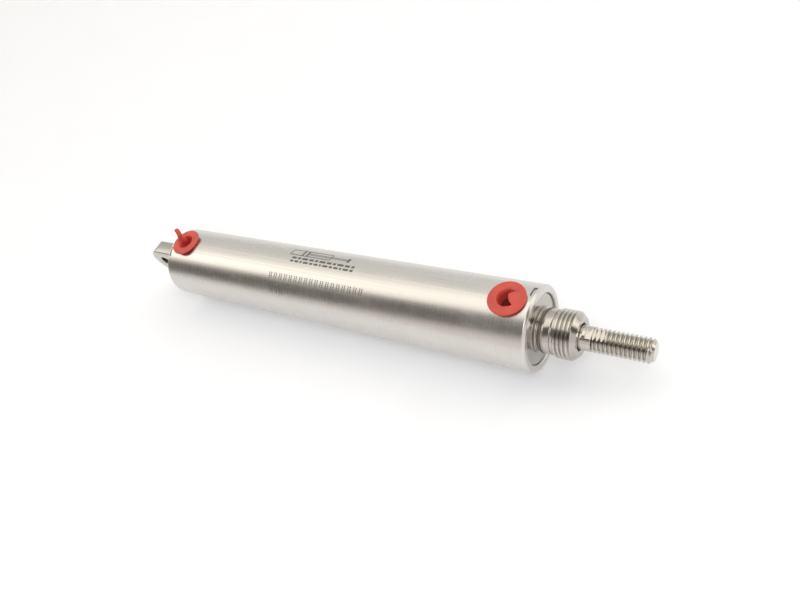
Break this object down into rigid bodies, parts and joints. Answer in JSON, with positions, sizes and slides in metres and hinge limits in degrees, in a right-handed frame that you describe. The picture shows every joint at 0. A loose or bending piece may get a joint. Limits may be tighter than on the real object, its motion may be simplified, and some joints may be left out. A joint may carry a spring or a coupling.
{
  "type": "pneumatic cylinder",
  "caption": "Round-body double-acting pneumatic cylinder: threaded nose and rod, rear pivot tang, two plugged side ports; turns air pressure into a straight push or pull.",
  "frame": {"origin": "centre of the tube's front end face, on the cylinder's axis", "axes": "+X along the axis towards the rod end, +Z out of the two ports, +Y to complete a right-handed frame, along the pivot tang's cross hole"},
  "size_m": [0.2738, 0.035, 0.0429],
  "materials": {
    "tube_stainless": "fine circumferential polish, satin",
    "head_steel": "fine turned",
    "rod_stainless": "ground and rolled thread",
    "wire_steel": "drawn wire",
    "piston_aluminium": "fine turned",
    "bushing_bronze": "sintered, oil filled",
    "seal_nitrile": "moulded matt",
    "bumper_urethane": "moulded satin",
    "ring_polymer": "machined",
    "plug_red": "soft moulded, slightly translucent"
  },
  "bodies": {
    "barrel": {"tube": "tube_stainless", "front_head": "head_steel", "rear_head": "head_steel", "front_retaining_wire": "wire_steel", "rear_retaining_wire": "wire_steel", "front_head_seal": "seal_nitrile", "rear_head_seal": "seal_nitrile", "front_bumper": "bumper_urethane", "rear_bumper": "bumper_urethane", "rod_bushing": "bushing_bronze", "rod_seal": "bumper_urethane", "rod_seal_washer": "wire_steel", "rod_wiper": "seal_nitrile"},
    "piston_seals": {"piston_wear_ring": "ring_polymer", "piston_front_seal": "seal_nitrile", "piston_rear_seal": "seal_nitrile"},
    "rod": {"piston_rod": "rod_stainless", "piston": "piston_aluminium", "piston_rod_seal": "seal_nitrile", "piston_washer": "wire_steel", "piston_nut": "wire_steel"},
    "front_plug": {"front_port_plug": "plug_red"},
    "rear_plug": {"rear_port_plug": "plug_red"}
  },
  "joints": [
    {"name": "rod_slide", "type": "slide", "parent": "barrel", "child": "piston_seals", "axis": [1, 0, 0], "range_m": [0, 0.1524]},
    {"name": "rod_spin", "type": "hinge", "parent": "piston_seals", "child": "rod", "pos_m": [0, 0, 0], "axis": [1, 0, 0], "continuous": true},
    {"name": "front_plug_pull", "type": "slide", "parent": "barrel", "child": "front_plug", "axis": [0, 0, 1], "range_m": [0, 0.015]},
    {"name": "rear_plug_pull", "type": "slide", "parent": "barrel", "child": "rear_plug", "axis": [0, 0, 1], "range_m": [0, 0.015]}
  ]
}
